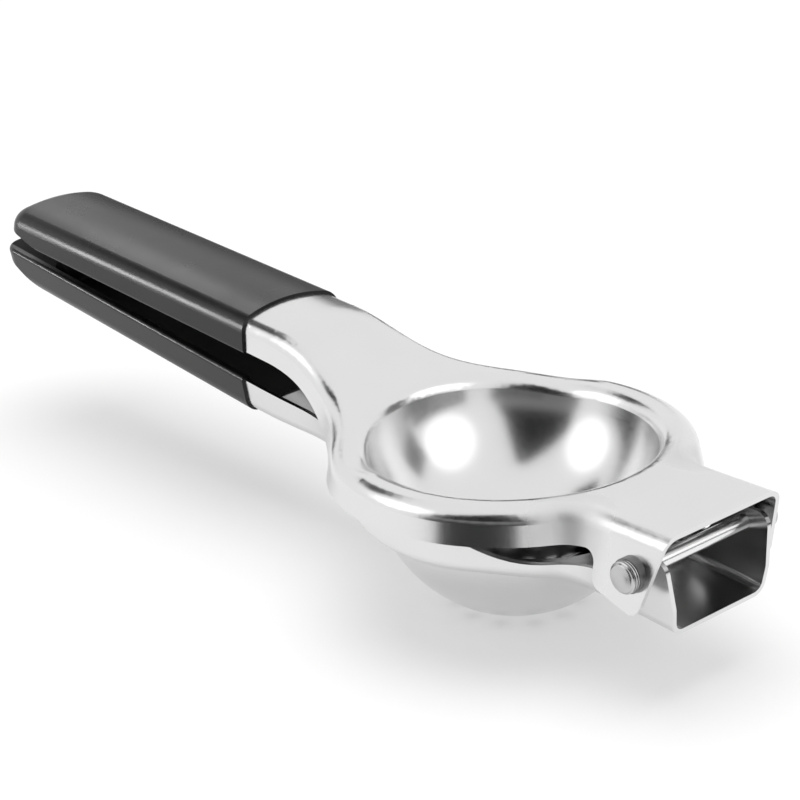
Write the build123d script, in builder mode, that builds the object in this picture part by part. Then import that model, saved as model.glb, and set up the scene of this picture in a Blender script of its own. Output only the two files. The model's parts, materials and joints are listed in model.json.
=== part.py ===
"""Hinged lemon squeezer: two pressed steel arms on one pin, each with a moulded grip."""
from build123d import *
from math import cos, radians, sqrt, tan
import os

# The origin is the middle of the flat foot under the strainer bowl.
# +Z runs up the bowl's axis and +X runs from the bowl to the hinge.

# Sheet shared by both arms, and the length by which cuts run past what they cut
sheet = 1.0
overrun = 30.0

# Press arm, the upper one: plate, skirt and ears
plate_height = 35.4
plate_radius = 36.3
tongue_reach = 19.1
tongue_half_width = 15.4
tongue_blend = 9.0
neck_blend = 42.0
press_draft = 11.0
shoulder_radius = 3.6
skirt_depth = 7.0
ear_depth = 16.5
ear_length = 16.4
ear_toe_setback = 4.9
ear_heel_depth = 13.5
ear_corner = 2.5
notch_corner = 2.5

# Press arm: neck and handle
neck_lead = 30.3
neck_knee_lead = 0.3
neck_knee_rise = 3.3
neck_run = 25.7
skirt_rise_lead = 14.3
press_handle_rise = 9.83
press_handle_slope = 0.065
press_handle_skirt = 6.0
press_skirt_slope = 0.075
press_handle_half_width = 12.6
press_crown = 2.0
crown_shares = (
    (-5.0, -0.2),
    (-1.7, -0.2),
    (-1.0, 0.0),
    (-0.5, 0.75),
    (0.0, 1.0),
    (0.5, 0.75),
    (1.0, 0.0),
    (1.7, -0.2),
    (5.0, -0.2),
)
press_handle_length = 90.0

# Press bowl hanging from the plate
lip_margin = 4.05
lip_radius = 3.4
press_bowl_depth = 25.0

# Bowl arm, the lower one: strainer bowl and the tray around it
foot_radius = 9.1
tray_gap = 1.4
tray_ledge = 6.4
rim_drop = 5.5
tray_depth = 9.6
tray_draft = 8.0
tray_corner = 3.0
cheek_clearance = 0.85
tray_tongue_blend = 8.0
tray_neck_blend = 42.0

# Bowl arm: mouth under the hinge
mouth_top_setback = 1.2
mouth_floor_setback = 0.2
mouth_drop = 21.2
mouth_length = 17.2
mouth_step_length = 22.0
mouth_fall = 1.4
wall_dip_depth = 7.5
wall_dip_setback = 17.9
wall_dip_length = 6.5
wall_dip_run = 23.0
wall_rise_setback = 9.4
wall_over_pin = 3.0
mouth_corner = 3.0

# Bowl arm: neck and handle
tray_flat_length = 4.0
tray_shelf_lead = 6.9
tray_shelf_rise = 3.8
tray_neck_run = 37.1
tray_handle_rise = 4.3
tray_handle_slope = 0.11
tray_handle_half_width = 12.6
tray_handle_depth = 7.5
tray_rim_lead = 6.9
tray_handle_length = 80.0

# Drain holes in the strainer bowl
drain_diameter = 3.2
inner_ring_radius = 7.0
inner_ring_count = 6
outer_ring_radius = 13.0
outer_ring_count = 12

# Grips: a skin outside the steel and a lining inside it
grip_skin = 0.6
grip_tip_corner = 4.6
grip_rim_radius = 0.9
grip_web = 1.0
press_grip_setback = 5.7
press_tip_length = 15.2
press_tip_nose = 3.2
tray_grip_setback = 0.9
tray_tip_overhang = 20.5
tray_tip_length = 23.5
tray_tip_nose = 1.4
tray_tip_slope = 0.62

# Hinge
hinge_setback = 6.9
hinge_drop = 8.4
pin_diameter = 3.2
pin_clearance = 0.05
pin_break = 9.6
tenon_diameter = 1.8
tenon_length = 6.0
washer_diameter = 6.8
washer_thickness = 0.6
washer_clearance = 0.1
head_diameter = 6.2
head_side = 1.1
head_dome = 0.9

os.makedirs("parts", exist_ok=True)

half_span = plate_radius + overrun
side_plane = Plane.XZ.offset(-half_span)

# Places that follow from the sizes above
plate_front = plate_radius + tongue_reach
ear_rear = plate_front - ear_length
ear_toe = plate_front - ear_toe_setback
neck_start = neck_lead - plate_radius
neck_knee = neck_knee_lead - plate_radius
neck_end = -plate_radius - neck_run
skirt_rise_start = skirt_rise_lead - plate_radius
press_handle_end = neck_end - press_handle_length
hinge_x = plate_front - hinge_setback
hinge_height = plate_height - hinge_drop
lip_start_radius = plate_radius - lip_margin
tray_radius = plate_radius - tray_gap
bowl_radius = tray_radius - tray_ledge
bowl_centre_height = sqrt(bowl_radius**2 - foot_radius**2)
tray_rim_height = plate_height - rim_drop
tray_floor_height = tray_rim_height - tray_depth
mouth_floor_height = plate_height - mouth_drop
mouth_top_front = plate_front - mouth_top_setback
mouth_floor_front = plate_front - mouth_floor_setback
wall_top = hinge_height + wall_over_pin
wall_dip_height = tray_rim_height - wall_dip_depth
wall_rise_start = plate_front - wall_dip_setback
wall_rise_end = plate_front - wall_rise_setback
wall_dip_end = wall_rise_start - wall_dip_length
wall_dip_start = wall_dip_end - wall_dip_run
mouth_step_end = mouth_floor_front - mouth_length
mouth_step_start = mouth_step_end - mouth_step_length
tray_neck_start = mouth_step_start - tray_flat_length
tray_shelf_start = tray_shelf_lead - tray_radius
tray_rim_start = tray_rim_lead - tray_radius
tray_neck_end = -tray_radius - tray_neck_run
tray_handle_end = tray_neck_end - tray_handle_length
press_grip_front = neck_end - press_grip_setback
press_grip_end = press_handle_end - press_tip_length
tray_grip_front = tray_neck_end - tray_grip_setback
tray_grip_end = tray_handle_end - tray_tip_overhang
tray_tip_start = tray_grip_end + tray_tip_length


# Side views across the press arm, from which its crown is drawn, and how far each is lifted
crown_radius = (press_handle_half_width**2 + press_crown**2) / (2 * press_crown)
crown_stations = [(share * press_handle_half_width, lift * press_crown) for share, lift in crown_shares]


def flare(angle, height):
    """Sideways spread of a wall with this draft over a height."""
    return height * tan(radians(angle))


def runs_lengthwise(edge):
    """Whether an edge's middle points along the arm more than across it or up."""
    direction = edge.tangent_at(0.5)
    return abs(direction.X) > max(abs(direction.Y), abs(direction.Z))


# Press arm


def press_top(x):
    """Height of the press handle's top behind the neck."""
    return plate_height + press_handle_rise + press_handle_slope * (neck_end - x)


def press_half_width(x, level):
    """Half width of the press handle at a level, for one section all along the slope."""
    return press_handle_half_width + flare(press_draft, press_top(x) - level)


def press_skirt(x):
    """Height of the press handle's lower edge behind the neck, where the skirt narrows to the rear."""
    return press_top(neck_end) - press_handle_skirt + press_skirt_slope * (neck_end - x)


def press_line(points, slope, front, rear):
    """Line along the press arm: level from the front, up through points, then sloped to the rear."""
    start, end = points[0], points[-1]
    Line((front, start[1]), start)
    Spline(*points, tangents=((-1, 0), (-1, slope)))
    Line(end, (rear, end[1] + slope * (end[0] - rear)))


def crowned(outline):
    """Solid through side views of the press arm, drawn from one side to the other with their lifts."""
    with BuildPart() as block:
        for place, lift in crown_stations:
            with BuildSketch(Plane.XZ.offset(-place)):
                with BuildLine():
                    outline(lift)
                make_face()
        loft()
    return block.part


def press_form(skin, reach):
    """Solid inside the press arm's outer face, drawn in by a skin."""
    inset = skin / cos(radians(press_draft))
    spread = flare(press_draft, plate_height) - inset
    rear = press_handle_end - reach
    front = plate_front + reach

    def arm_outline(lift):
        neck = (
            (neck_start, plate_height - skin),
            (neck_knee, plate_height + neck_knee_rise - skin),
            (neck_end, press_top(neck_end) + lift - skin),
        )
        press_line(neck, press_handle_slope, front + overrun, rear - overrun)
        Polyline(
            (rear - overrun, press_top(rear - overrun) + lift - skin),
            (rear - overrun, 0),
            (front + overrun, 0),
            (front + overrun, plate_height - skin),
        )

    with BuildPart() as form:
        with BuildSketch(Plane.XY):
            with BuildLine():
                Polyline(
                    (rear, press_half_width(rear, plate_height)),
                    (0, press_half_width(0, plate_height)),
                    (0, -press_half_width(0, plate_height)),
                    (rear, -press_half_width(rear, plate_height)),
                    close=True,
                )
            make_face()
            with Locations((front / 2, 0)):
                Rectangle(front, 2 * tongue_half_width)
            Circle(plate_radius)
            fillet(vertices().filter_by(lambda v: 0 < v.X < plate_radius), radius=tongue_blend)
            fillet(vertices().filter_by(lambda v: -plate_radius < v.X < 0), radius=neck_blend)
            offset(amount=spread, kind=Kind.INTERSECTION)
        extrude(amount=plate_height + overrun, taper=press_draft)
        add(crowned(arm_outline), mode=Mode.INTERSECT)
        tops = edges().filter_by(lambda e: e.center().Z > plate_height - skin - sheet / 2)
        fillet(tops.filter_by(runs_lengthwise), radius=shoulder_radius - skin)
    return form.part


# The bowl's arc and the lip's arc touch on the line between their centres
press_bowl_radius = (
    lip_start_radius**2 + (press_bowl_depth - lip_radius) ** 2 - lip_radius**2
) / (2 * press_bowl_depth)
press_bowl_centre = plate_height - press_bowl_depth + press_bowl_radius


def sink_bowl(form, skin):
    """Form with the bowl sunk into it, grown by a skin, and with the lip rolled over round it."""
    with BuildPart() as sunk:
        add(form)
        with Locations((0, 0, press_bowl_centre)):
            Sphere(press_bowl_radius + skin, mode=Mode.SUBTRACT)
        bowl_edges = faces().filter_by(GeomType.SPHERE)[0].edges()
        rim = bowl_edges.filter_by(lambda e: e.center().Z > plate_height - lip_radius)
        fillet(rim, radius=lip_radius - skin)
    return sunk.part


press_outer = press_form(0, 0)
press_inner = press_form(sheet, overrun)

# What stays of the drawn sheet: the bowl, and in side view the plate with its skirt, notch and ears
with BuildPart() as press_trim:
    with BuildSketch(side_plane):
        rear = press_handle_end - overrun
        with BuildLine():
            press_line(
                ((skirt_rise_start, plate_height - skirt_depth), (neck_end, press_skirt(neck_end))),
                press_skirt_slope,
                ear_rear,
                rear,
            )
            Polyline(
                (rear, press_skirt(rear)),
                (rear, plate_height + 2 * overrun),
                (plate_front, plate_height + 2 * overrun),
                (plate_front, plate_height - sheet),
                (ear_toe, plate_height - ear_depth),
                (ear_rear, plate_height - ear_heel_depth),
                (ear_rear, plate_height - skirt_depth),
            )
        make_face()
        low = vertices().filter_by(lambda v: v.Y < plate_height - skirt_depth - sheet)
        fillet(low, radius=ear_corner)
        notch = vertices().sort_by_distance((ear_rear, plate_height - skirt_depth))[0]
        fillet(notch, radius=notch_corner)
    extrude(amount=2 * half_span)
    with BuildSketch(Plane.XY):
        Circle(lip_start_radius)
    extrude(amount=plate_height)

with BuildPart() as press_arm:
    add(sink_bowl(press_outer, 0))
    add(sink_bowl(press_inner, sheet), mode=Mode.SUBTRACT)
    add(press_trim.part, mode=Mode.INTERSECT)
    with BuildSketch(side_plane):
        with Locations((hinge_x, hinge_height)):
            Circle(pin_diameter / 2)
    extrude(amount=2 * half_span, mode=Mode.SUBTRACT)
press_arm.part.label = "press_arm"
export_step(press_arm.part, "parts/press_arm.step")


# Bowl arm

tray_base = mouth_floor_height - sheet
rim_half_width = tongue_half_width + flare(press_draft, rim_drop) - sheet / cos(radians(press_draft))
tray_tongue_half_width = rim_half_width - cheek_clearance


def tray_floor(x):
    """Height of the bowl arm's handle floor behind the neck."""
    return tray_floor_height + tray_handle_rise + tray_handle_slope * (tray_neck_end - x)


def tray_half_width(x, level):
    """Half width of the bowl arm's handle at a level, for one section all along the slope."""
    return tray_handle_half_width + flare(tray_draft, level - tray_floor(x) - tray_handle_depth)


def tray_floor_line(lift, front, rear):
    """Line of the bowl arm's floor from front to rear, raised by a lift."""
    fall = mouth_fall / (mouth_floor_front - mouth_step_end)
    step_height = mouth_floor_height + mouth_fall
    front_height = step_height - fall * (front - mouth_step_end)
    Line((front, front_height + lift), (mouth_step_end, step_height + lift))
    Spline(
        (mouth_step_end, step_height + lift),
        (mouth_step_start, tray_floor_height + lift),
        tangents=((-1, fall), (-1, 0)),
    )
    Line((mouth_step_start, tray_floor_height + lift), (tray_neck_start, tray_floor_height + lift))
    shelf = tray_floor_height + tray_shelf_rise + lift
    Spline(
        (tray_neck_start, tray_floor_height + lift),
        (tray_shelf_start, shelf),
        tangents=((-1, 0), (-1, 0)),
    )
    Spline(
        (tray_shelf_start, shelf),
        (tray_neck_end, tray_floor(tray_neck_end) + lift),
        tangents=((-1, 0), (-1, tray_handle_slope)),
    )
    Line((tray_neck_end, tray_floor(tray_neck_end) + lift), (rear, tray_floor(rear) + lift))
    return (front, front_height + lift)


def tray_form(skin, reach):
    """Solid inside the bowl arm's outer face, drawn in by a skin."""
    inset = skin / cos(radians(tray_draft))
    spread = flare(tray_draft, tray_base - tray_rim_height) - inset
    rear = tray_handle_end - reach
    front = mouth_floor_front + sheet + reach
    top = press_top(rear)
    with BuildPart() as form:
        with BuildSketch(Plane.XY.offset(tray_base)):
            with BuildLine():
                Polyline(
                    (rear, tray_half_width(rear, tray_rim_height)),
                    (0, tray_half_width(0, tray_rim_height)),
                    (0, -tray_half_width(0, tray_rim_height)),
                    (rear, -tray_half_width(rear, tray_rim_height)),
                    close=True,
                )
            make_face()
            with Locations((front / 2, 0)):
                Rectangle(front, 2 * tray_tongue_half_width)
            Circle(tray_radius)
            fillet(vertices().filter_by(lambda v: 0 < v.X < tray_radius), radius=tray_tongue_blend)
            fillet(vertices().filter_by(lambda v: -tray_radius < v.X < 0), radius=tray_neck_blend)
            offset(amount=spread, kind=Kind.INTERSECTION)
        extrude(amount=top - tray_base, taper=-tray_draft)
        with BuildSketch(side_plane):
            with BuildLine():
                start = tray_floor_line(skin, front + overrun, rear - overrun)
                Polyline(
                    (rear - overrun, tray_floor(rear - overrun) + skin),
                    (rear - overrun, top + overrun),
                    (front + overrun, top + overrun),
                    start,
                )
            make_face()
        extrude(amount=2 * half_span, mode=Mode.INTERSECT)
        lows = edges().filter_by(runs_lengthwise).filter_by(lambda e: e.center().Z < top - overrun / 2)
        fillet(lows, radius=tray_corner - skin)
    return form.part


tray_outer = tray_form(0, 0)
tray_inner = tray_form(sheet, overrun)


def bowl_profile(skin):
    """Half section inside the strainer bowl, drawn in by a skin, straight above its widest level."""
    radius = bowl_radius - skin
    foot_half = sqrt(radius**2 - (bowl_centre_height - skin) ** 2)
    with BuildSketch(Plane.XZ) as profile:
        with BuildLine():
            Line((0, skin), (foot_half, skin))
            RadiusArc((foot_half, skin), (radius, bowl_centre_height), -radius)
            Polyline(
                (radius, bowl_centre_height),
                (radius, bowl_centre_height + overrun),
                (0, bowl_centre_height + overrun),
                (0, skin),
            )
        make_face()
    return profile.sketch


with BuildPart() as bowl_arm:
    add(tray_outer)
    add(bowl_profile(0))
    revolve(axis=Axis.Z)
    add(tray_inner, mode=Mode.SUBTRACT)
    add(bowl_profile(sheet))
    revolve(axis=Axis.Z, mode=Mode.SUBTRACT)
    # Side view: rim, dip behind the ears, cheeks round the pin and the mouth's front
    with BuildSketch(side_plane):
        with BuildLine():
            handle_top = tray_floor(tray_handle_end) + tray_handle_depth
            neck_top = tray_floor(tray_neck_end) + tray_handle_depth
            Line((tray_handle_end, handle_top), (tray_neck_end, neck_top))
            Spline(
                (tray_neck_end, neck_top),
                (tray_rim_start, tray_rim_height),
                tangents=((1, -tray_handle_slope), (1, 0)),
            )
            Line((tray_rim_start, tray_rim_height), (wall_dip_start, tray_rim_height))
            Spline(
                (wall_dip_start, tray_rim_height),
                (wall_dip_end, wall_dip_height),
                tangents=((1, 0), (1, 0)),
            )
            Line((wall_dip_end, wall_dip_height), (wall_rise_start, wall_dip_height))
            Spline(
                (wall_rise_start, wall_dip_height),
                (wall_rise_end, wall_top),
                tangents=((1, 0), (1, 0)),
            )
            Polyline(
                (wall_rise_end, wall_top),
                (mouth_top_front, wall_top),
                (mouth_floor_front, mouth_floor_height),
                (mouth_floor_front, -overrun),
                (tray_handle_end, -overrun),
                (tray_handle_end, handle_top),
            )
        make_face()
        fillet(vertices().sort_by_distance((mouth_top_front, wall_top))[:1], radius=mouth_corner)
    extrude(amount=2 * half_span, mode=Mode.INTERSECT)
    with BuildSketch(side_plane):
        with Locations((hinge_x, hinge_height)):
            Circle(pin_diameter / 2 + pin_clearance)
    extrude(amount=2 * half_span, mode=Mode.SUBTRACT)
    # Drain holes in rings round the middle of the foot
    with BuildSketch(Plane.XY):
        with PolarLocations(inner_ring_radius, inner_ring_count):
            Circle(drain_diameter / 2)
        with PolarLocations(outer_ring_radius, outer_ring_count):
            Circle(drain_diameter / 2)
    extrude(amount=bowl_centre_height / 2, mode=Mode.SUBTRACT)
bowl_arm.part.label = "bowl_arm"
export_step(bowl_arm.part, "parts/bowl_arm.step")


# Grips


def crown_plane(x):
    """Plane across the press handle, round the middle of its crown's arc."""
    middle = press_top(x) + press_crown - crown_radius
    return Plane((x, 0, middle), x_dir=(0, 1, 0), z_dir=(-1, 0, press_handle_slope))


def press_grip_form(skin, front, rear):
    """Solid along the press handle, drawn in by a skin, with a rounded rear end in plan."""
    inset = skin / cos(radians(press_draft))
    base = plate_height - skirt_depth
    spread = flare(press_draft, press_top(rear) - base)
    tail = rear - spread
    with BuildPart() as form:
        with BuildSketch(Plane.XY.offset(base)):
            with BuildLine():
                Polyline(
                    (front, press_half_width(front, base) - inset),
                    (tail, press_half_width(tail, base) - inset),
                    (tail, inset - press_half_width(tail, base)),
                    (front, inset - press_half_width(front, base)),
                    close=True,
                )
            make_face()
            fillet(vertices().group_by(Axis.X)[0], radius=grip_tip_corner - skin + spread)
        extrude(amount=plate_height + overrun - base, taper=press_draft)
        with BuildSketch(crown_plane(front + overrun)):
            Circle(crown_radius - skin)
        extrude(amount=front - tail + 2 * overrun, mode=Mode.INTERSECT)
        top_face = faces().sort_by(Axis.Z)[-1]
        rims = top_face.edges().filter_by(lambda e: e.center().X < front - overrun / 2)
        fillet(rims, radius=shoulder_radius - skin)
    return form.part


def tray_grip_form(skin, front, rear):
    """Solid along the bowl arm's handle, drawn in by a skin, with a rounded rear end in plan."""
    inset = skin / cos(radians(tray_draft))
    base = tray_floor_height - sheet
    top = tray_floor(rear) + tray_handle_depth
    tail = rear + flare(tray_draft, top - base)
    with BuildPart() as form:
        with BuildSketch(Plane.XY.offset(base)):
            with BuildLine():
                Polyline(
                    (front, tray_half_width(front, base) - inset),
                    (tail, tray_half_width(tail, base) - inset),
                    (tail, inset - tray_half_width(tail, base)),
                    (front, inset - tray_half_width(front, base)),
                    close=True,
                )
            make_face()
            corner = grip_tip_corner - skin - flare(tray_draft, tray_floor(rear) - base)
            fillet(vertices().group_by(Axis.X)[0], radius=corner)
        extrude(amount=top + overrun - base, taper=-tray_draft)
        with BuildSketch(side_plane):
            with BuildLine():
                Polyline(
                    (front, tray_floor(front) + skin),
                    (rear - overrun, tray_floor(rear - overrun) + skin),
                    (rear - overrun, top + 2 * overrun),
                    (front, top + 2 * overrun),
                    close=True,
                )
            make_face()
        extrude(amount=2 * half_span, mode=Mode.INTERSECT)
        floor_face = faces().sort_by(Axis.Z)[0]
        rims = floor_face.edges().filter_by(lambda e: e.center().X < front - overrun / 2)
        fillet(rims, radius=tray_corner - skin)
    return form.part


def press_rim(x):
    """Height of the press grip's lower rim."""
    return press_skirt(x) - grip_skin


def tray_rim(x):
    """Height of the bowl grip's upper rim."""
    return tray_floor(x) + tray_handle_depth + grip_skin


press_sleeve = press_grip_form(-grip_skin, press_grip_front, press_grip_end)
press_hollow = press_grip_form(sheet + grip_skin, press_grip_front + overrun, press_handle_end - grip_web)
with BuildPart() as press_grip:
    add(press_sleeve)
    # Side view: rim along the skirt, rising to the nose at the tip
    with BuildSketch(side_plane):
        nose = press_top(press_grip_end) + grip_skin - press_tip_nose
        with BuildLine():
            Polyline(
                (press_grip_front, press_rim(press_grip_front)),
                (press_handle_end, press_rim(press_handle_end)),
                (press_grip_end, nose),
                (press_grip_end - overrun, nose + overrun),
                (press_grip_end - overrun, nose + 2 * overrun),
                (press_grip_front, nose + 2 * overrun),
                close=True,
            )
        make_face()
    extrude(amount=2 * half_span, mode=Mode.INTERSECT)
    rim_edges = faces().sort_by(Axis.Z)[0].edges().filter_by(runs_lengthwise)
    fillet(rim_edges, radius=grip_rim_radius)
    add(press_hollow, mode=Mode.SUBTRACT)
    add(press_arm.part, mode=Mode.SUBTRACT)
press_grip.part.label = "press_grip"
export_step(press_grip.part, "parts/press_grip.step")

tray_sleeve = tray_grip_form(-grip_skin, tray_grip_front, tray_grip_end)
tray_hollow = tray_grip_form(sheet + grip_skin, tray_grip_front + overrun, tray_handle_end - grip_web)
with BuildPart() as bowl_grip:
    add(tray_sleeve)
    # Side view: rim along the wall, with the underside sweeping up to the tip
    with BuildSketch(side_plane):
        with BuildLine():
            Polyline(
                (tray_tip_start, tray_floor(tray_tip_start) - grip_skin),
                (tray_tip_start, -overrun),
                (tray_grip_front, -overrun),
                (tray_grip_front, tray_rim(tray_grip_front)),
                (tray_grip_end - overrun, tray_rim(tray_grip_end - overrun)),
                (tray_grip_end - overrun, tray_rim(tray_grip_end) - tray_tip_nose),
                (tray_grip_end, tray_rim(tray_grip_end) - tray_tip_nose),
            )
            Spline(
                (tray_grip_end, tray_rim(tray_grip_end) - tray_tip_nose),
                (tray_tip_start, tray_floor(tray_tip_start) - grip_skin),
                tangents=((1, -tray_tip_slope), (1, -tray_handle_slope)),
            )
        make_face()
    extrude(amount=2 * half_span, mode=Mode.INTERSECT)
    rim_edges = faces().sort_by(Axis.Z)[-1].edges().sort_by(Axis.X)[:-1]
    fillet(rim_edges, radius=grip_rim_radius)
    add(tray_hollow, mode=Mode.SUBTRACT)
    add(bowl_arm.part, mode=Mode.SUBTRACT)
bowl_grip.part.label = "bowl_grip"
export_step(bowl_grip.part, "parts/bowl_grip.step")


# Hinge

# Ear half width at the lower edge of the washer, where the ear stands widest
washer_seat = tongue_half_width + flare(press_draft, plate_height - hinge_height + washer_diameter / 2)
head_seat = washer_seat + washer_thickness


def headed_shank(side, shank_end):
    """Half section of a domed head and its shank down to an end, on one side of the middle."""
    rim = head_seat + head_side
    crown = rim + head_dome
    with BuildSketch(Plane.XY.offset(hinge_height)) as profile:
        with BuildLine():
            Polyline(
                (hinge_x, side * crown),
                (hinge_x, side * shank_end),
                (hinge_x + pin_diameter / 2, side * shank_end),
                (hinge_x + pin_diameter / 2, side * head_seat),
                (hinge_x + head_diameter / 2, side * head_seat),
                (hinge_x + head_diameter / 2, side * rim),
            )
            Spline(
                (hinge_x + head_diameter / 2, side * rim),
                (hinge_x, side * crown),
                tangents=((-1, 2 * side), (-1, 0)),
            )
        make_face()
    return profile.sketch


pin_axis = Axis((hinge_x, 0, hinge_height), (0, 1, 0))
pin_plane = Plane((hinge_x, 0, hinge_height), x_dir=(1, 0, 0), z_dir=(0, 1, 0))

# The pin's shank ends short of the far wall, with a tenon that runs into the cap
with BuildPart() as hinge_pin:
    add(headed_shank(-1, -pin_break))
    revolve(axis=pin_axis)
    with BuildSketch(pin_plane.offset(pin_break)):
        Circle(tenon_diameter / 2)
    extrude(amount=tenon_length)
hinge_pin.part.label = "hinge_pin"
export_step(hinge_pin.part, "parts/hinge_pin.step")

with BuildPart() as pin_cap:
    add(headed_shank(1, pin_break))
    revolve(axis=pin_axis)
    with BuildSketch(pin_plane.offset(pin_break)):
        Circle(tenon_diameter / 2)
    extrude(amount=tenon_length, mode=Mode.SUBTRACT)
pin_cap.part.label = "pin_cap"
export_step(pin_cap.part, "parts/pin_cap.step")


def ear_washer(side):
    """Washer between an ear and a head, with its inner face on the ear's slope."""
    with BuildPart() as washer:
        with BuildSketch(pin_plane.offset(side * head_seat)):
            Circle(washer_diameter / 2)
            Circle(pin_diameter / 2 + washer_clearance, mode=Mode.SUBTRACT)
        extrude(amount=-side * tongue_half_width)
        add(press_outer, mode=Mode.SUBTRACT)
    return washer.part


near_washer = ear_washer(-1)
near_washer.label = "near_washer"
export_step(near_washer, "parts/near_washer.step")
far_washer = ear_washer(1)
far_washer.label = "far_washer"
export_step(far_washer, "parts/far_washer.step")
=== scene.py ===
import json
import math
from collections import namedtuple

import bpy
from mathutils import Matrix, Vector


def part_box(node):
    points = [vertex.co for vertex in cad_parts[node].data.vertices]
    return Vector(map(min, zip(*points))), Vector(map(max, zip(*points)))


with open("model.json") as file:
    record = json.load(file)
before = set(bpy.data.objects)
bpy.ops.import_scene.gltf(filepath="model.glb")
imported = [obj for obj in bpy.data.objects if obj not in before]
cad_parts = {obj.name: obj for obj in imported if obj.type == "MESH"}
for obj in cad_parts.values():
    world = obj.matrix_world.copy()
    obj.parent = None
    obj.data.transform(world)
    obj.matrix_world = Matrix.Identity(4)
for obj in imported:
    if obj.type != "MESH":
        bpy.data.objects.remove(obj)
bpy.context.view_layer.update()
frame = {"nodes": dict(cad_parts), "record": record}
scene = bpy.context.scene

# Places on the object, in metres: X runs along the arms to the hinge, Y along the pin and Z up
MM = 0.001
BOWL = Vector((0, 0, 30 * MM))
EAR_LENGTH = 16.4 * MM
EAR_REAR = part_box("press_arm")[1].x - EAR_LENGTH
EAR_FADE = 2 * MM
HOLLOW_CORNER = (EAR_REAR - 5 * MM, 17.5 * MM, 0)
HOLLOW_CORE = 4.5 * MM
HOLLOW_REACH = 9 * MM
PIN_HEAD_START = 17.2 * MM
CHANNEL_HALF_WIDTH = 11.3 * MM
MASK_EDGE = 0.4 * MM

# Part of a normal that makes a face count as inward or level, from not at all to fully
INWARD_START, INWARD_FULL = -0.15, -0.35
LEVEL_START = 0.2
TRAY_LEVEL_FULL = 0.4
CHANNEL_LEVEL_FULL = 0.5

# Textures: noise in features to a metre, a wave with grooves 0.56 mm apart, and the range of noise in use
HAZE_SCALE = 45.0
LINE_STRETCH = (90, 2400, 2400)
SPECK_SCALE = 3800.0
CLOUD_SCALE = 60.0
GRAIN_SCALE = 2600.0
GROOVE_SCALE = 560.0
NOISE_LOW, NOISE_HIGH = 0.3, 0.7

# Finish: depth of the bump, and how far a tone or a roughness varies over a surface
SPECK_DEPTH = 0.02 * MM
GRAIN_DEPTH = 0.04 * MM
GRAIN_STRENGTH = 0.06
GROOVE_DEPTH = 0.12 * MM
GROOVE_STRENGTH = 0.8
STEEL_TONE_SPREAD = 0.012
TONE_SPREAD_SHARE = 0.1
ZONE_ROUGH_SPREAD = 0.1
SATIN_ROUGH_BELOW, SATIN_ROUGH_ABOVE = 0.02, 0.03
MATT_ROUGH_LOW, MATT_ROUGH_HIGH = 0.8, 0.9
SATIN_SPECULAR = 0.38

# Camera: focal length in pixels of a square frame, direction in degrees and place in millimetres
FOCAL_PIXELS = 2176.602
FRAME_PIXELS = 800
SENSOR_MM = 36
CAMERA_AZIMUTH, CAMERA_ELEVATION, CAMERA_ROLL = 50.468, 21.492, -3.359
CAMERA_PLACE_MM = (294.400, -271.525, 201.626)
CLIP_START = 10 * MM

# Studio: distances in metres, and how bright the floor and the world are
FLOOR_HALF_SIDE = 4.0
FLOOR_DROP = 0.2 * MM
FLOOR_TONE = 0.58
FLOOR_ROUGH = 0.9
FLOOR_NEAR, FLOOR_FAR = 0.5, 1.7
FLOOR_GLOW_NEAR, FLOOR_GLOW_FAR = 0.41, 0.72
CARD_DISTANCE = 1.25
CARD_LIFT = 1 * MM
CARD_ROUGH = 1.0
WORLD_LIGHT = 0.5
WORLD_SEEN = 1.0
WHITE = (1, 1, 1, 1)


# Shader helpers

def new_material(name):
    mat = bpy.data.materials.new(name)
    mat.use_nodes = True
    tree = mat.node_tree
    shader = tree.nodes["Principled BSDF"]
    return mat, tree, shader


def add_node(tree, kind, **inputs):
    node = tree.nodes.new(kind)
    for key, value in inputs.items():
        node.inputs[key].default_value = value
    return node


def math_node(tree, operation, first, second=None):
    node = tree.nodes.new("ShaderNodeMath")
    node.operation = operation
    tree.links.new(first, node.inputs[0])
    if second is not None:
        tree.links.new(second, node.inputs[1])
    return node.outputs[0]


def ramp(tree, source, low, high, dark, light):
    """Dark where source is low, light where it is high, and between them in between."""
    node = tree.nodes.new("ShaderNodeMapRange")
    node.inputs["From Min"].default_value = low
    node.inputs["From Max"].default_value = high
    node.inputs["To Min"].default_value = dark
    node.inputs["To Max"].default_value = light
    tree.links.new(source, node.inputs["Value"])
    return node.outputs["Result"]


def mask(tree, source, start, full):
    """0 where source is at start or before it, 1 from full on."""
    return ramp(tree, source, start, full, 0.0, 1.0)


def grey(tree, value):
    node = tree.nodes.new("ShaderNodeCombineColor")
    for channel in ("Red", "Green", "Blue"):
        tree.links.new(value, node.inputs[channel])
    return node.outputs["Color"]


def blend(tree, zone, outside, inside):
    node = tree.nodes.new("ShaderNodeMix")
    tree.links.new(zone, node.inputs[0])
    tree.links.new(outside, node.inputs[2])
    tree.links.new(inside, node.inputs[3])
    return node.outputs[0]


def object_coords(tree, stretch=(1, 1, 1)):
    coords = tree.nodes.new("ShaderNodeTexCoord")
    mapping = tree.nodes.new("ShaderNodeMapping")
    mapping.inputs["Scale"].default_value = stretch
    tree.links.new(coords.outputs["Object"], mapping.inputs["Vector"])
    return mapping.outputs["Vector"]


def noise(tree, scale, detail, stretch=(1, 1, 1)):
    node = add_node(tree, "ShaderNodeTexNoise", Scale=scale, Detail=detail)
    tree.links.new(object_coords(tree, stretch), node.inputs["Vector"])
    return node.outputs["Fac"]


def spread(tree, source, low, high):
    """Values from low to high, as the noise in source goes."""
    return ramp(tree, source, NOISE_LOW, NOISE_HIGH, low, high)


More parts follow.
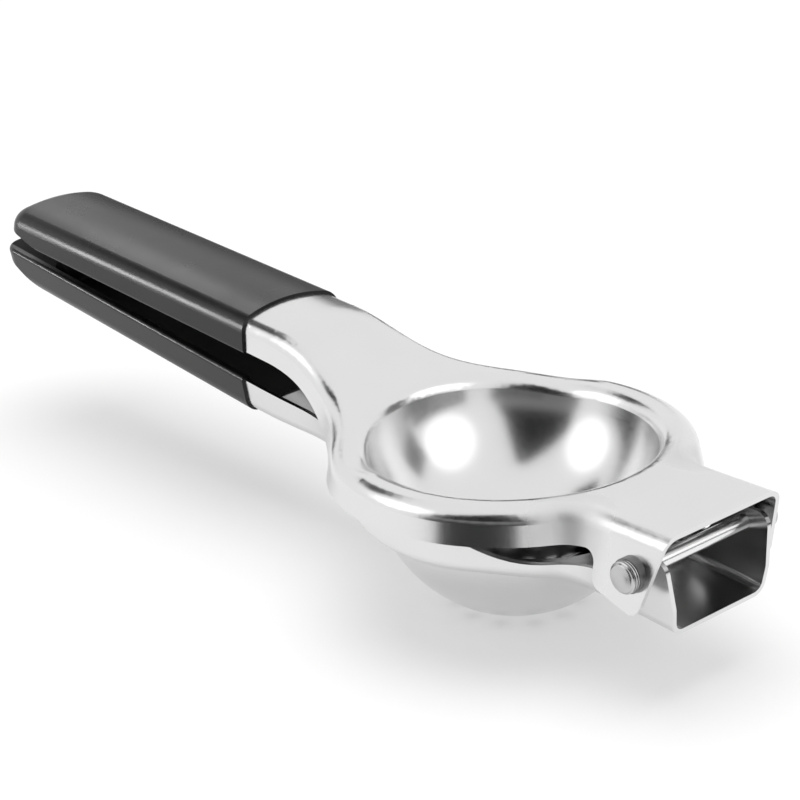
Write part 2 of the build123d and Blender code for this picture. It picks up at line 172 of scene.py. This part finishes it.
def spread_around(tree, source, tone):
    """Tones a little below and above the given one, as the noise in source goes."""
    return spread(tree, source, tone * (1 - TONE_SPREAD_SHARE), tone * (1 + TONE_SPREAD_SHARE))


def bumped(tree, height, strength, depth, under=None):
    """Normal of a surface with a fine relief, laid over another relief where one is given."""
    bump = add_node(tree, "ShaderNodeBump", Strength=strength, Distance=depth)
    tree.links.new(height, bump.inputs["Height"])
    if under is not None:
        tree.links.new(under, bump.inputs["Normal"])
    return bump.outputs["Normal"]


def separated(tree, output):
    """X, Y and Z of the place on the object or of the normal there."""
    coords = tree.nodes.new("ShaderNodeTexCoord")
    parts = tree.nodes.new("ShaderNodeSeparateXYZ")
    tree.links.new(coords.outputs[output], parts.inputs[0])
    return parts.outputs


def from_middle(tree):
    """Distance from the plane that mirrors the object."""
    return math_node(tree, "ABSOLUTE", separated(tree, "Object")["Y"])


def seen_directly(tree):
    """1 for what the camera or a mirror sees, 0 for the light that other surfaces gather."""
    path = tree.nodes.new("ShaderNodeLightPath")
    return math_node(tree, "MAXIMUM", path.outputs["Is Camera Ray"], path.outputs["Is Glossy Ray"])


# Zones of a surface, 1 inside and 0 outside

def inward_wall(tree):
    """Walls that look at the plane that mirrors the object."""
    side = math_node(tree, "SIGN", separated(tree, "Object")["Y"])
    inward = math_node(tree, "MULTIPLY", side, separated(tree, "Normal")["Y"])
    return mask(tree, inward, INWARD_START, INWARD_FULL)


def level_face(tree, facing, full):
    """Faces that look up, or down where facing is -1."""
    return mask(tree, separated(tree, "Normal")["Z"], LEVEL_START * facing, full * facing)


def tray_inside(tree):
    """Faces that look into the tray or up from its floor, which get painted shade."""
    return math_node(tree, "MAXIMUM", inward_wall(tree), level_face(tree, 1, TRAY_LEVEL_FULL))


def ear_inside(tree):
    """Inner faces of the ears, which get painted shade."""
    along = mask(tree, separated(tree, "Object")["X"], EAR_REAR - EAR_FADE, EAR_REAR)
    return math_node(tree, "MULTIPLY", inward_wall(tree), along)


def hollow_corner(tree):
    """The two hollow corners where an ear leaves the plate, which get a rougher finish and painted light.
    """
    flat = tree.nodes.new("ShaderNodeCombineXYZ")
    tree.links.new(separated(tree, "Object")["X"], flat.inputs["X"])
    tree.links.new(from_middle(tree), flat.inputs["Y"])
    reach = tree.nodes.new("ShaderNodeVectorMath")
    reach.operation = "DISTANCE"
    tree.links.new(flat.outputs[0], reach.inputs[0])
    reach.inputs[1].default_value = HOLLOW_CORNER
    return mask(tree, reach.outputs["Value"], HOLLOW_REACH, HOLLOW_CORE)


def pin_head(tree):
    """Domed heads of the pin, outside the ears, and not the rod between them, which get turned grooves and
    painted shade.
    """
    return mask(tree, from_middle(tree), PIN_HEAD_START, PIN_HEAD_START + MASK_EDGE)


def grip_channel(tree, facing):
    """Faces between a grip's walls that look up, or down where facing is -1."""
    between = mask(tree, from_middle(tree), CHANNEL_HALF_WIDTH, CHANNEL_HALF_WIDTH - MASK_EDGE)
    return math_node(tree, "MULTIPLY", level_face(tree, facing, CHANNEL_LEVEL_FULL), between)


# Materials

Zone = namedtuple("Zone", "place tone rough")


def steel(name, tone, rough, grain, speck, zones=(), grooved=None):
    """Polished sheet with faint lines along its length, and zones with their own roughness whose tone is
    painted: a lighter tone is painted light, a darker one painted shade.

    Turned grooves run round the Y axis in the zone that grooved gives.
    """
    mat, tree, shader = new_material(name)
    shader.inputs["Metallic"].default_value = 1.0
    haze = noise(tree, scale=HAZE_SCALE, detail=3.0)
    lines = noise(tree, scale=1.0, detail=4.0, stretch=LINE_STRETCH)
    specks = noise(tree, scale=SPECK_SCALE, detail=1.0)
    shade = spread(tree, haze, tone - STEEL_TONE_SPREAD, tone + STEEL_TONE_SPREAD)
    gloss = spread(tree, lines, rough, rough + grain)
    for zone in zones:
        place = zone.place(tree)
        matt = spread(tree, haze, zone.rough, zone.rough + ZONE_ROUGH_SPREAD)
        # Each zone's tone is painted light where it is lighter and painted shade where it is darker than
        # the steel's own tone.
        shade = blend(tree, place, shade, spread_around(tree, haze, zone.tone))
        gloss = blend(tree, place, gloss, matt)
    tree.links.new(grey(tree, shade), shader.inputs["Base Color"])
    tree.links.new(gloss, shader.inputs["Roughness"])
    normal = bumped(tree, specks, speck, SPECK_DEPTH)
    if grooved is not None:
        turned = add_node(tree, "ShaderNodeTexWave", Scale=GROOVE_SCALE)
        turned.bands_direction = "Y"
        tree.links.new(object_coords(tree), turned.inputs["Vector"])
        grooves = math_node(tree, "MULTIPLY", turned.outputs["Fac"], grooved(tree))
        normal = bumped(tree, grooves, GROOVE_STRENGTH, GROOVE_DEPTH, under=normal)
    tree.links.new(normal, shader.inputs["Normal"])
    return mat


def satin(name, tone, rough, facing):
    """Satin moulding, matt inside the channel, where its faces look up or down as facing says."""
    mat, tree, shader = new_material(name)
    cloud = noise(tree, scale=CLOUD_SCALE, detail=3.0)
    grain = noise(tree, scale=GRAIN_SCALE, detail=2.0)
    gloss = spread(tree, cloud, rough - SATIN_ROUGH_BELOW, rough + SATIN_ROUGH_ABOVE)
    matt = spread(tree, cloud, MATT_ROUGH_LOW, MATT_ROUGH_HIGH)
    tree.links.new(grey(tree, spread_around(tree, cloud, tone)), shader.inputs["Base Color"])
    tree.links.new(blend(tree, grip_channel(tree, facing), gloss, matt), shader.inputs["Roughness"])
    shader.inputs["Specular IOR Level"].default_value = SATIN_SPECULAR
    tree.links.new(bumped(tree, grain, GRAIN_STRENGTH, GRAIN_DEPTH), shader.inputs["Normal"])
    return mat


sheet_finish = {"tone": 0.74, "rough": 0.19, "grain": 0.04, "speck": 0.04}
pin_finish = {"tone": 0.85, "rough": 0.2, "grain": 0.04, "speck": 0.01}
# Washers: their dark tone is painted shade, the dark ring behind the pin heads.
washer_shade_finish = {"tone": 0.22, "rough": 0.3, "grain": 0.1, "speck": 0.04}
grip_finish = {"tone": 0.005, "rough": 0.28}
press_light_and_shade_zones = [
    # Hollow corners: a rougher finish, and a lighter tone that is painted light.
    Zone(hollow_corner, tone=0.8, rough=0.5),
    # Inner faces of the ears: a dark tone that is painted shade.
    Zone(ear_inside, tone=0.3, rough=0.2),
]
# Inside the tray: a darker tone that is painted shade, and a smoother finish.
tray_shade_zones = [Zone(tray_inside, tone=0.4, rough=0.14)]
# Pin heads: turned grooves and a rougher finish, and a tone darker than the rod that is painted shade.
pin_head_shade_zones = [Zone(pin_head, tone=0.55, rough=0.24)]

slot_looks = {
    "polished_steel": steel("polished_steel", **sheet_finish, zones=press_light_and_shade_zones),
    "pin_steel": steel("pin_steel", **pin_finish, zones=pin_head_shade_zones, grooved=pin_head),
    "washer_steel": steel("washer_steel", **washer_shade_finish),
    "grip": satin("grip", **grip_finish, facing=-1),
}
own_looks = {
    "bowl_grip": satin("grip_lower", **grip_finish, facing=1),
    # Bowl arm steel with painted shade inside the tray.
    "bowl_arm": steel("polished_steel_shaded_inside", **sheet_finish, zones=tray_shade_zones),
}
for row in frame["record"]["subparts"]:
    materials = frame["nodes"][row["node"]].data.materials
    materials.clear()
    materials.append(own_looks.get(row["node"], slot_looks[row["material_slot"]]))


# Camera

def direction(azimuth_deg, elevation_deg):
    """Unit vector away from the object, azimuth 0 being the near side and 90 the hinge's."""
    azimuth, elevation = math.radians(azimuth_deg), math.radians(elevation_deg)
    flat = math.cos(elevation)
    return Vector((math.sin(azimuth) * flat, -math.cos(azimuth) * flat, math.sin(elevation)))


back = direction(CAMERA_AZIMUTH, CAMERA_ELEVATION)
right = direction(CAMERA_AZIMUTH + 90, 0)
roll = math.radians(CAMERA_ROLL)
across = math.cos(roll) * right + math.sin(roll) * back.cross(right)
upward = back.cross(across)
camera = bpy.data.objects.new("camera", bpy.data.cameras.new("camera"))
camera.data.sensor_width = SENSOR_MM
camera.data.lens = FOCAL_PIXELS * SENSOR_MM / FRAME_PIXELS
camera.data.clip_start = CLIP_START
turn = Matrix((across, upward, back)).transposed().to_4x4()
camera.matrix_world = Matrix.Translation(Vector(CAMERA_PLACE_MM) * MM) @ turn
scene.collection.objects.link(camera)
scene.camera = camera


# Floor, dark cards and lamps

def stage_sheet(name, points, tone, rough):
    """Flat matt sheet that belongs to the stage, with the nodes and the shader of its material."""
    mesh = bpy.data.meshes.new(name)
    mesh.from_pydata(points, [], [range(len(points))])
    sheet = bpy.data.objects.new(name, mesh)
    scene.collection.objects.link(sheet)
    mat, tree, shader = new_material(name)
    shader.inputs["Base Color"].default_value = (tone, tone, tone, 1)
    shader.inputs["Roughness"].default_value = rough
    shader.inputs["Specular IOR Level"].default_value = 0.0
    mesh.materials.append(mat)
    return sheet, tree, shader


def pale_floor():
    """Floor that takes the object's shadow and glows more with distance, to meet the white world."""
    corners = [(-1, -1), (1, -1), (1, 1), (-1, 1)]
    points = [(x * FLOOR_HALF_SIDE, y * FLOOR_HALF_SIDE, -FLOOR_DROP) for x, y in corners]
    _, tree, shader = stage_sheet("floor", points, FLOOR_TONE, FLOOR_ROUGH)
    reach = tree.nodes.new("ShaderNodeVectorMath")
    reach.operation = "LENGTH"
    tree.links.new(object_coords(tree), reach.inputs[0])
    lift = ramp(tree, reach.outputs["Value"], FLOOR_NEAR, FLOOR_FAR, FLOOR_GLOW_NEAR, FLOOR_GLOW_FAR)
    glow = math_node(tree, "MULTIPLY", seen_directly(tree), lift)
    tree.links.new(glow, shader.inputs["Emission Strength"])
    shader.inputs["Emission Color"].default_value = WHITE


def dark_card(name, corners, tone, on_floor=False):
    """Panel that only mirrors see, with corners given as azimuth and elevation from the bowl."""
    points = []
    for azimuth, elevation in corners:
        distance = CARD_DISTANCE
        if on_floor:
            distance = (BOWL.z - CARD_LIFT) / math.sin(math.radians(-elevation))
        points.append(BOWL + direction(azimuth, elevation) * distance)
    card, _, _ = stage_sheet(name, points, tone, CARD_ROUGH)
    card.visible_camera = False
    card.visible_diffuse = False
    card.visible_shadow = False


def softbox(name, azimuth, elevation, distance, size, radiance, mirrored=True, only=None):
    """Oval lamp of a given brightness that faces the bowl, and lights only a collection if one is given."""
    data = bpy.data.lights.new(name, "AREA")
    data.shape = "ELLIPSE"
    data.size, data.size_y = size
    data.energy = math.pi * radiance * size[0] * size[1]
    lamp = bpy.data.objects.new(name, data)
    away = direction(azimuth, elevation)
    facing = away.to_track_quat("Z", "Y").to_matrix().to_4x4()
    lamp.matrix_world = Matrix.Translation(BOWL + away * distance) @ facing
    lamp.visible_camera = False
    lamp.visible_glossy = mirrored
    lamp.light_linking.receiver_collection = only
    scene.collection.objects.link(lamp)


pale_floor()
softbox("right_box", azimuth=112, elevation=31, distance=1.2, size=(1.05, 0.85), radiance=0.5)
softbox("left_box", azimuth=-31, elevation=31, distance=1.2, size=(0.86, 0.78), radiance=0.5)
softbox("overhead", azimuth=-130, elevation=84, distance=1.5, size=(1.6, 1.6), radiance=2.0, mirrored=False)
grips = bpy.data.collections.new("grips")
grips.objects.link(frame["nodes"]["press_grip"])
grips.objects.link(frame["nodes"]["bowl_grip"])
softbox("grip_strip", azimuth=-54, elevation=13, distance=1.15, size=(0.2, 0.28), radiance=17.0, only=grips)
softbox("grip_sheen", azimuth=-112, elevation=34, distance=1.15, size=(0.2, 0.1), radiance=4.0, only=grips)
dark_card("camera_side", [(59, 17), (54, 28), (42, 64), (30, 64), (-6, 30), (-6, 17)], tone=0.01)
dark_card("camera_side_middle", [(-9, 9), (66, 9), (59, 17), (-6, 17)], tone=0.3)
dark_card("camera_side_low", [(1, -1.3), (49, -1.3), (60, 2), (66, 9), (-9, 9), (-9, 2)], tone=0.02)
dark_card("left_side", [(-102, 34), (-66, 34), (-66, 50), (-102, 50)], tone=0.01)
dark_card("left_low", [(-142, 0), (-118, 0), (-118, 14), (-142, 14)], tone=0.15)
dark_card("right_low", [(84, 0), (136, 0), (136, 9), (84, 9)], tone=0.01)
dark_card("right_rear", [(139, 0), (162, 0), (162, 27), (139, 27)], tone=0.2)
dark_card("front_floor", [(12, -20), (38, -20), (49, -1.4), (1, -1.4)], tone=0.03, on_floor=True)

# World, white to the camera and in mirrors, and half as bright as a light
world = bpy.data.worlds.new("studio")
scene.world = world
world.use_nodes = True
world_tree = world.node_tree
sky = world_tree.nodes["Background"]
sky.inputs["Color"].default_value = WHITE
strength = ramp(world_tree, seen_directly(world_tree), 0.0, 1.0, WORLD_LIGHT, WORLD_SEEN)
world_tree.links.new(strength, sky.inputs["Strength"])

scene.view_settings.view_transform = "Standard"
